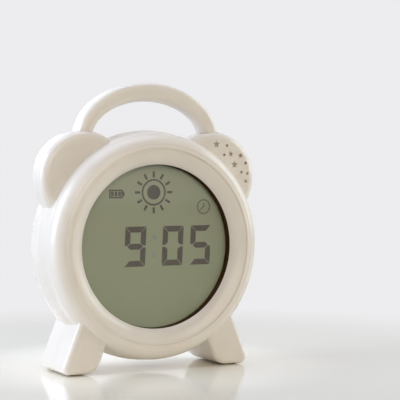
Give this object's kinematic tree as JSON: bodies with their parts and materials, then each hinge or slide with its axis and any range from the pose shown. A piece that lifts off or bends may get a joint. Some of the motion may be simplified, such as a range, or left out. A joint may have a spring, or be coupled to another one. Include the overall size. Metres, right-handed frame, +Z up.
{
  "type": "kids alarm clock with night light",
  "caption": "Round table alarm clock for a child, with a lit liquid crystal face, two round ears with sound holes, a carry handle and splayed feet.",
  "frame": {"origin": "on the table under the middle of the clock, at the bottom centre of its box", "axes": "+Z up, the face looks along -Y, +X is the side of the ear with the sound holes"},
  "size_m": [0.146, 0.0592, 0.1771],
  "materials": {
    "shell_plastic": "moulded cream ABS, soft satin gloss",
    "light_button_plastic": "moulded amber ABS",
    "pad_rubber": "soft matt rubber",
    "dark_plastic": "matt dark brown polystyrene",
    "clear_window": "clear polished acrylic",
    "lcd_glass": "grey-green reflective liquid crystal glass",
    "lcd_ink": "dark liquid crystal segments",
    "strip_rubber": "black layered contact rubber",
    "guide_acrylic": "clear acrylic with a frosted back",
    "reflector_film": "white film",
    "circuit_board": "green solder mask",
    "led_body": "clear resin over a pale yellow phosphor",
    "inner_plastic": "white moulded ABS",
    "screw_steel": "zinc-plated steel",
    "black_plastic": "matt black moulding",
    "crystal_can": "drawn metal can",
    "capacitor_sleeve": "dark blue sleeve",
    "speaker_fabric": "fine woven dust cloth",
    "speaker_steel": "pressed steel basket",
    "cone_film": "thin black film cone",
    "magnet_iron": "plated ferrite magnet and yoke",
    "wire_insulation": "thin vinyl insulation",
    "ribbon_plastic": "flat ribbon cable",
    "cell_can": "sleeved dry cell",
    "contact_steel": "nickel-plated spring steel",
    "slider_plastic": "grey-beige moulded knob",
    "pin_brass": "nickel-plated brass"
  },
  "bodies": {
    "clock": {"front_housing": "shell_plastic", "rear_housing": "shell_plastic", "handle": "shell_plastic", "foot_pads": "pad_rubber", "bezel_ring": "shell_plastic", "light_shield": "dark_plastic", "window_lens": "clear_window", "lcd_panel": "lcd_glass", "lcd_segments": "lcd_ink", "contact_strip": "strip_rubber", "light_guide": "guide_acrylic", "reflector_sheet": "reflector_film", "led_board": "circuit_board", "leds": "led_body", "display_frame": "inner_plastic", "display_screws": "screw_steel", "main_board": "circuit_board", "board_screws": "screw_steel", "controller_chip": "black_plastic", "clock_crystal": "crystal_can", "capacitors": "capacitor_sleeve", "speaker_cloth": "speaker_fabric", "speaker_frame": "speaker_steel", "speaker_cone": "cone_film", "speaker_magnet": "magnet_iron", "speaker_retainer": "inner_plastic", "speaker_screws": "screw_steel", "speaker_wires": "wire_insulation", "batteries": "cell_can", "battery_springs": "contact_steel", "battery_contacts": "contact_steel", "battery_wires": "wire_insulation", "button_board": "circuit_board", "button_board_screws": "screw_steel", "button_switches": "black_plastic", "button_ribbon": "ribbon_plastic", "lock_switch": "speaker_steel", "lock_switch_screws": "screw_steel", "power_socket": "black_plastic", "power_pin": "pin_brass", "power_wires": "wire_insulation", "housing_screws": "screw_steel"},
    "battery_door": {"battery_door": "shell_plastic"},
    "door_screw": {"door_screw": "screw_steel"},
    "light_button": {"light_button": "light_button_plastic"},
    "hour_button": {"hour_button": "shell_plastic"},
    "minute_button": {"minute_button": "shell_plastic"},
    "alarm_button": {"alarm_button": "shell_plastic"},
    "time_button": {"time_button": "shell_plastic"},
    "lock_slider": {"lock_slider": "slider_plastic"}
  },
  "joints": [
    {"name": "door_tilt", "type": "hinge", "parent": "clock", "child": "battery_door", "pos_m": [0, 0.0284, 0.0364], "axis": [-1, 0, 0], "range_deg": [0, 70]},
    {"name": "door_screw_turn", "type": "hinge", "parent": "battery_door", "child": "door_screw", "pos_m": [0, 0.0284, 0.097], "axis": [0, 1, 0], "continuous": true},
    {"name": "light_button_press", "type": "slide", "parent": "clock", "child": "light_button", "axis": [0, -1, 0], "range_m": [0, 0.0008], "stiffness_N_per_m": 400, "springref_m": -0.002},
    {"name": "hour_button_press", "type": "slide", "parent": "clock", "child": "hour_button", "axis": [0, -1, 0], "range_m": [0, 0.0008], "stiffness_N_per_m": 400, "springref_m": -0.002},
    {"name": "minute_button_press", "type": "slide", "parent": "clock", "child": "minute_button", "axis": [0, -1, 0], "range_m": [0, 0.0008], "stiffness_N_per_m": 400, "springref_m": -0.002},
    {"name": "alarm_button_press", "type": "slide", "parent": "clock", "child": "alarm_button", "axis": [0, -1, 0], "range_m": [0, 0.0008], "stiffness_N_per_m": 400, "springref_m": -0.002},
    {"name": "time_button_press", "type": "slide", "parent": "clock", "child": "time_button", "axis": [0, -1, 0], "range_m": [0, 0.0008], "stiffness_N_per_m": 400, "springref_m": -0.002},
    {"name": "lock_slide", "type": "slide", "parent": "clock", "child": "lock_slider", "axis": [0, 0, 1], "range_m": [0, 0.004]}
  ]
}
